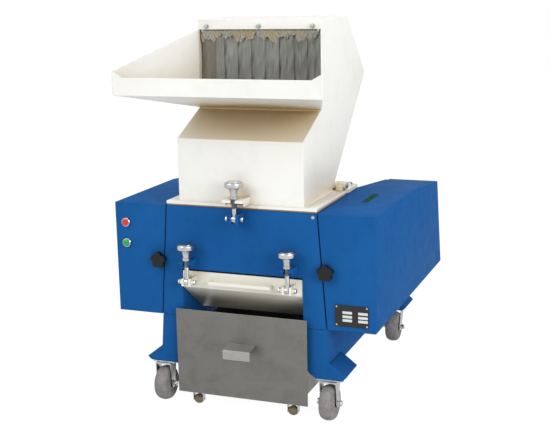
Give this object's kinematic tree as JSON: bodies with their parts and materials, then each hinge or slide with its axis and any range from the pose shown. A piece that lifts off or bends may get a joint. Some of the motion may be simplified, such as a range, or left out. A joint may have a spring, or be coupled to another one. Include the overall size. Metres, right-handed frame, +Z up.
{
  "type": "plastic granulator",
  "caption": "Floor-standing claw-rotor granulator on castors with a tilting feed hopper, drop-down screen cradle, roll-out collecting bin and hinged side covers.",
  "frame": {"origin": "on the floor, at the middle of the machine's outline seen from above", "axes": "+Z up, -Y towards the feed tray and the operator, +X to the operator's right, towards the belt cover"},
  "size_m": [0.944, 1.181, 1.33],
  "materials": {
    "bezel": "plated ring",
    "bin_steel": "bare sheet steel with a rolled mill finish",
    "blue_paint": "semi-gloss blue paint",
    "bright_steel": "turned and plated steel",
    "cast": "cast iron, oiled",
    "cream_paint": "cream paint, slightly worn",
    "dark_steel": "bare machined steel",
    "green": "moulded green",
    "motor_paint": "motor grey-blue enamel",
    "phenolic": "black moulded phenolic",
    "plate_black": "black anodised sheet",
    "pvc": "soft clear strip PVC, hazy",
    "red": "moulded red",
    "rubber": "moulded black rubber",
    "seal": "amber foam rubber",
    "tyre": "grey moulded tyre",
    "white_paint": "glossy baked white paint on folded sheet"
  },
  "bodies": {
    "frame": {"front_panel": "blue_paint", "side_plate_left": "blue_paint", "side_plate_right": "blue_paint", "feet": "blue_paint", "rear_panel": "blue_paint", "top_plate": "blue_paint", "chamber": "dark_steel", "bed_knives": "bright_steel", "bearings": "cast", "belts": "rubber", "motor": "motor_paint", "motor_tray": "blue_paint", "hinge_plate": "cream_paint", "hinge_pins": "bright_steel", "lock_pivot": "bright_steel", "clamp_forks": "blue_paint", "castor_forks_front": "bright_steel"},
    "hopper": {"hopper_shell": "white_paint", "hopper_flange": "white_paint", "hopper_seal": "seal", "feed_tray": "white_paint", "band_bolts": "bright_steel", "curtain_bar": "bright_steel", "hopper_lock_lug": "white_paint", "hinge_knuckles": "white_paint"},
    "curtain": {"strip_curtain": "pvc"},
    "hopper_lock": {"hopper_lock_rod": "bright_steel"},
    "hopper_lock_knob": {"hopper_lock_knob": "bright_steel"},
    "rotor": {"rotor_shaft": "bright_steel", "rotor_hub": "dark_steel", "claw_blades": "bright_steel", "flywheel": "cast", "rotor_pulley": "cast"},
    "motor_rotor": {"motor_pulley": "cast"},
    "cradle": {"cradle": "cream_paint", "screen": "bin_steel", "cradle_handle": "cream_paint", "cradle_pivots": "cream_paint"},
    "clamp_left": {"clamp_rod_left": "bright_steel"},
    "clamp_right": {"clamp_rod_right": "bright_steel"},
    "clamp_left_knob": {"clamp_knob_left": "bright_steel"},
    "clamp_right_knob": {"clamp_knob_right": "bright_steel"},
    "bin": {"bin": "bin_steel", "bin_handle": "bin_steel", "bin_castor_forks": "bright_steel", "bin_castor_wheels": "tyre"},
    "left_cover": {"cover_left": "blue_paint", "button_bezels": "bezel"},
    "right_cover": {"cover_right": "blue_paint", "nameplate": "plate_black"},
    "red_button": {"red_button": "red"},
    "green_button": {"green_button": "green"},
    "left_star_knob": {"star_knob_left": "phenolic"},
    "right_star_knob": {"star_knob_right": "phenolic"},
    "rear_left_swivel": {"castor_fork_rear_left": "bright_steel"},
    "rear_right_swivel": {"castor_fork_rear_right": "bright_steel"},
    "front_left_wheel": {"wheel_front_left": "tyre"},
    "front_right_wheel": {"wheel_front_right": "tyre"},
    "rear_left_wheel": {"wheel_rear_left": "tyre"},
    "rear_right_wheel": {"wheel_rear_right": "tyre"}
  },
  "joints": [
    {"name": "hopper_tilt", "type": "hinge", "parent": "frame", "child": "hopper", "pos_m": [0, -0.062, 0.744], "axis": [-1, 0, 0], "range_deg": [0, 50]},
    {"name": "curtain_swing", "type": "hinge", "parent": "hopper", "child": "curtain", "pos_m": [0, -0.18487, 1.289], "axis": [1, 0, 0], "range_deg": [0, 60]},
    {"name": "hopper_lock_swing", "type": "hinge", "parent": "hopper", "child": "hopper_lock", "pos_m": [0, -0.452, 0.688], "axis": [1, 0, 0], "range_deg": [0, 95]},
    {"name": "hopper_lock_turn", "type": "hinge", "parent": "hopper_lock", "child": "hopper_lock_knob", "pos_m": [0, -0.452, 0.79], "axis": [0, 0, 1], "continuous": true},
    {"name": "rotor_spin", "type": "hinge", "parent": "frame", "child": "rotor", "pos_m": [0, -0.25, 0.51], "axis": [1, 0, 0], "continuous": true},
    {"name": "motor_spin", "type": "hinge", "parent": "frame", "child": "motor_rotor", "pos_m": [0, 0.255, 0.412], "axis": [1, 0, 0], "continuous": true},
    {"name": "cradle_drop", "type": "hinge", "parent": "frame", "child": "cradle", "pos_m": [0, -0.094, 0.482], "axis": [1, 0, 0], "range_deg": [0, 12]},
    {"name": "clamp_left_swing", "type": "hinge", "parent": "frame", "child": "clamp_left", "pos_m": [-0.182, -0.452, 0.458], "axis": [1, 0, 0], "range_deg": [0, 95]},
    {"name": "clamp_right_swing", "type": "hinge", "parent": "frame", "child": "clamp_right", "pos_m": [0.182, -0.452, 0.458], "axis": [1, 0, 0], "range_deg": [0, 95]},
    {"name": "clamp_left_turn", "type": "hinge", "parent": "clamp_left", "child": "clamp_left_knob", "pos_m": [-0.182, -0.452, 0.565], "axis": [0, 0, 1], "continuous": true},
    {"name": "clamp_right_turn", "type": "hinge", "parent": "clamp_right", "child": "clamp_right_knob", "pos_m": [0.182, -0.452, 0.565], "axis": [0, 0, 1], "continuous": true},
    {"name": "bin_roll_out", "type": "slide", "parent": "frame", "child": "bin", "axis": [0, -1, 0], "range_m": [0, 0.46]},
    {"name": "left_cover_swing", "type": "hinge", "parent": "frame", "child": "left_cover", "pos_m": [-0.288, 0.484, 0.5], "axis": [0, 0, -1], "range_deg": [0, 80]},
    {"name": "right_cover_swing", "type": "hinge", "parent": "frame", "child": "right_cover", "pos_m": [0.288, 0.484, 0.5], "axis": [0, 0, 1], "range_deg": [0, 80]},
    {"name": "red_button_press", "type": "slide", "parent": "left_cover", "child": "red_button", "axis": [0, 1, 0], "range_m": [0, 0.004], "stiffness_N_per_m": 400},
    {"name": "green_button_press", "type": "slide", "parent": "left_cover", "child": "green_button", "axis": [0, 1, 0], "range_m": [0, 0.004], "stiffness_N_per_m": 400},
    {"name": "left_star_knob_turn", "type": "hinge", "parent": "frame", "child": "left_star_knob", "pos_m": [-0.303, -0.41, 0.519], "axis": [0, 1, 0], "continuous": true},
    {"name": "right_star_knob_turn", "type": "hinge", "parent": "frame", "child": "right_star_knob", "pos_m": [0.303, -0.41, 0.519], "axis": [0, 1, 0], "continuous": true},
    {"name": "rear_left_swivel_turn", "type": "hinge", "parent": "frame", "child": "rear_left_swivel", "pos_m": [-0.306, 0.505, 0.13], "axis": [0, 0, 1], "continuous": true},
    {"name": "rear_right_swivel_turn", "type": "hinge", "parent": "frame", "child": "rear_right_swivel", "pos_m": [0.306, 0.505, 0.13], "axis": [0, 0, 1], "continuous": true},
    {"name": "front_left_wheel_roll", "type": "hinge", "parent": "frame", "child": "front_left_wheel", "pos_m": [-0.306, -0.394, 0.061], "axis": [1, 0, 0], "continuous": true},
    {"name": "front_right_wheel_roll", "type": "hinge", "parent": "frame", "child": "front_right_wheel", "pos_m": [0.306, -0.394, 0.061], "axis": [1, 0, 0], "continuous": true},
    {"name": "rear_left_wheel_roll", "type": "hinge", "parent": "rear_left_swivel", "child": "rear_left_wheel", "pos_m": [-0.306, 0.469, 0.061], "axis": [1, 0, 0], "continuous": true},
    {"name": "rear_right_wheel_roll", "type": "hinge", "parent": "rear_right_swivel", "child": "rear_right_wheel", "pos_m": [0.306, 0.469, 0.061], "axis": [1, 0, 0], "continuous": true}
  ],
  "couplings": [
    {"joint": "motor_spin", "follows": "rotor_spin", "ratio": 2}
  ]
}
